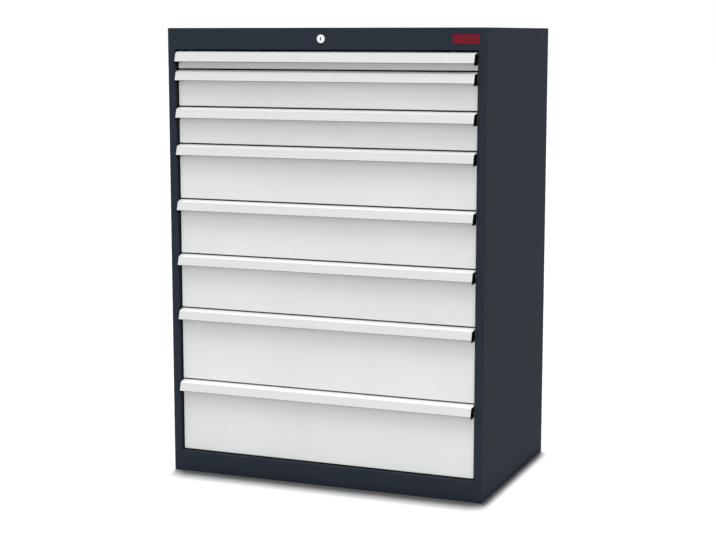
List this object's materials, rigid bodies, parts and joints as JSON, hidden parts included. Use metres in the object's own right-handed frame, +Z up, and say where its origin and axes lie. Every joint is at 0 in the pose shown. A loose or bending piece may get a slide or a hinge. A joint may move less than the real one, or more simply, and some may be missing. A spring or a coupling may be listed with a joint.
{
  "type": "drawer cabinet",
  "caption": "Tall steel workshop drawer cabinet with graduated full-width drawers on telescopic runners, strip handles and a central lock in the fascia.",
  "frame": {"origin": "on the floor, under the middle of the whole object's box", "axes": "+Z up, +Y from the front to the back, +X to the right seen from the front"},
  "size_m": [0.896, 0.5924, 1.218],
  "materials": {
    "housing_paint": "fine powder coat, anthracite grey, satin",
    "front_paint": "smooth powder coat, light grey, satin",
    "tray_paint": "smooth powder coat, light grey, satin",
    "handle_aluminium": "satin anodised, fine lengthwise grain",
    "cap_plastic": "black, matt",
    "zinc_steel": "zinc plated",
    "lock_nickel": "nickel plated, satin",
    "badge_enamel": "red enamel, glossy, blank"
  },
  "bodies": {
    "cabinet": {"right_side_panel": "housing_paint", "left_side_panel": "housing_paint", "top_panel": "housing_paint", "base_pan": "housing_paint", "back_panel": "housing_paint", "back_panel_rivets": "zinc_steel", "right_front_upright": "zinc_steel", "left_front_upright": "zinc_steel", "right_rear_upright": "zinc_steel", "left_rear_upright": "zinc_steel", "cabinet_channels": "zinc_steel", "lock_barrel": "lock_nickel", "lock_nut": "lock_nickel", "shaft_bracket": "zinc_steel", "lock_bar_guides": "zinc_steel", "badge_plate": "badge_enamel"},
    "lock_plug": {"lock_plug": "lock_nickel", "lock_shaft": "zinc_steel"},
    "lock_bar": {"lock_bar": "zinc_steel", "lock_arms": "zinc_steel"},
    "drawer_1": {"drawer_1_front": "front_paint", "drawer_1_handle": "handle_aluminium", "drawer_1_handle_caps": "cap_plastic", "drawer_1_tray": "tray_paint"},
    "drawer_1_middle": {"drawer_1_middle_rails": "zinc_steel"},
    "drawer_2": {"drawer_2_front": "front_paint", "drawer_2_handle": "handle_aluminium", "drawer_2_handle_caps": "cap_plastic", "drawer_2_tray": "tray_paint"},
    "drawer_2_middle": {"drawer_2_middle_rails": "zinc_steel"},
    "drawer_3": {"drawer_3_front": "front_paint", "drawer_3_handle": "handle_aluminium", "drawer_3_handle_caps": "cap_plastic", "drawer_3_tray": "tray_paint"},
    "drawer_3_middle": {"drawer_3_middle_rails": "zinc_steel"},
    "drawer_4": {"drawer_4_front": "front_paint", "drawer_4_handle": "handle_aluminium", "drawer_4_handle_caps": "cap_plastic", "drawer_4_tray": "tray_paint"},
    "drawer_4_middle": {"drawer_4_middle_rails": "zinc_steel"},
    "drawer_5": {"drawer_5_front": "front_paint", "drawer_5_handle": "handle_aluminium", "drawer_5_handle_caps": "cap_plastic", "drawer_5_tray": "tray_paint"},
    "drawer_5_middle": {"drawer_5_middle_rails": "zinc_steel"},
    "drawer_6": {"drawer_6_front": "front_paint", "drawer_6_handle": "handle_aluminium", "drawer_6_handle_caps": "cap_plastic", "drawer_6_tray": "tray_paint"},
    "drawer_6_middle": {"drawer_6_middle_rails": "zinc_steel"},
    "drawer_7": {"drawer_7_front": "front_paint", "drawer_7_handle": "handle_aluminium", "drawer_7_handle_caps": "cap_plastic", "drawer_7_tray": "tray_paint"},
    "drawer_7_middle": {"drawer_7_middle_rails": "zinc_steel"},
    "drawer_8": {"drawer_8_front": "front_paint", "drawer_8_handle": "handle_aluminium", "drawer_8_handle_caps": "cap_plastic", "drawer_8_tray": "tray_paint"},
    "drawer_8_middle": {"drawer_8_middle_rails": "zinc_steel"}
  },
  "joints": [
    {"name": "lock_turn", "type": "hinge", "parent": "cabinet", "child": "lock_plug", "pos_m": [0, -0.27935, 1.1895], "axis": [0, 1, 0], "range_deg": [0, 90]},
    {"name": "lock_bar_slide", "type": "slide", "parent": "cabinet", "child": "lock_bar", "axis": [0, 0, -1], "range_m": [0, 0.00848]},
    {"name": "drawer_1_slide", "type": "slide", "parent": "cabinet", "child": "drawer_1", "axis": [0, -1, 0], "range_m": [0, 0.5]},
    {"name": "drawer_1_middle_slide", "type": "slide", "parent": "cabinet", "child": "drawer_1_middle", "axis": [0, -1, 0], "range_m": [0, 0.25]},
    {"name": "drawer_2_slide", "type": "slide", "parent": "cabinet", "child": "drawer_2", "axis": [0, -1, 0], "range_m": [0, 0.5]},
    {"name": "drawer_2_middle_slide", "type": "slide", "parent": "cabinet", "child": "drawer_2_middle", "axis": [0, -1, 0], "range_m": [0, 0.25]},
    {"name": "drawer_3_slide", "type": "slide", "parent": "cabinet", "child": "drawer_3", "axis": [0, -1, 0], "range_m": [0, 0.5]},
    {"name": "drawer_3_middle_slide", "type": "slide", "parent": "cabinet", "child": "drawer_3_middle", "axis": [0, -1, 0], "range_m": [0, 0.25]},
    {"name": "drawer_4_slide", "type": "slide", "parent": "cabinet", "child": "drawer_4", "axis": [0, -1, 0], "range_m": [0, 0.5]},
    {"name": "drawer_4_middle_slide", "type": "slide", "parent": "cabinet", "child": "drawer_4_middle", "axis": [0, -1, 0], "range_m": [0, 0.25]},
    {"name": "drawer_5_slide", "type": "slide", "parent": "cabinet", "child": "drawer_5", "axis": [0, -1, 0], "range_m": [0, 0.5]},
    {"name": "drawer_5_middle_slide", "type": "slide", "parent": "cabinet", "child": "drawer_5_middle", "axis": [0, -1, 0], "range_m": [0, 0.25]},
    {"name": "drawer_6_slide", "type": "slide", "parent": "cabinet", "child": "drawer_6", "axis": [0, -1, 0], "range_m": [0, 0.5]},
    {"name": "drawer_6_middle_slide", "type": "slide", "parent": "cabinet", "child": "drawer_6_middle", "axis": [0, -1, 0], "range_m": [0, 0.25]},
    {"name": "drawer_7_slide", "type": "slide", "parent": "cabinet", "child": "drawer_7", "axis": [0, -1, 0], "range_m": [0, 0.5]},
    {"name": "drawer_7_middle_slide", "type": "slide", "parent": "cabinet", "child": "drawer_7_middle", "axis": [0, -1, 0], "range_m": [0, 0.25]},
    {"name": "drawer_8_slide", "type": "slide", "parent": "cabinet", "child": "drawer_8", "axis": [0, -1, 0], "range_m": [0, 0.5]},
    {"name": "drawer_8_middle_slide", "type": "slide", "parent": "cabinet", "child": "drawer_8_middle", "axis": [0, -1, 0], "range_m": [0, 0.25]}
  ],
  "couplings": [
    {"joint": "lock_turn", "follows": "lock_bar_slide", "rad_per_m": 185.13},
    {"joint": "drawer_1_middle_slide", "follows": "drawer_1_slide", "ratio": 0.5},
    {"joint": "drawer_2_middle_slide", "follows": "drawer_2_slide", "ratio": 0.5},
    {"joint": "drawer_3_middle_slide", "follows": "drawer_3_slide", "ratio": 0.5},
    {"joint": "drawer_4_middle_slide", "follows": "drawer_4_slide", "ratio": 0.5},
    {"joint": "drawer_5_middle_slide", "follows": "drawer_5_slide", "ratio": 0.5},
    {"joint": "drawer_6_middle_slide", "follows": "drawer_6_slide", "ratio": 0.5},
    {"joint": "drawer_7_middle_slide", "follows": "drawer_7_slide", "ratio": 0.5},
    {"joint": "drawer_8_middle_slide", "follows": "drawer_8_slide", "ratio": 0.5}
  ]
}
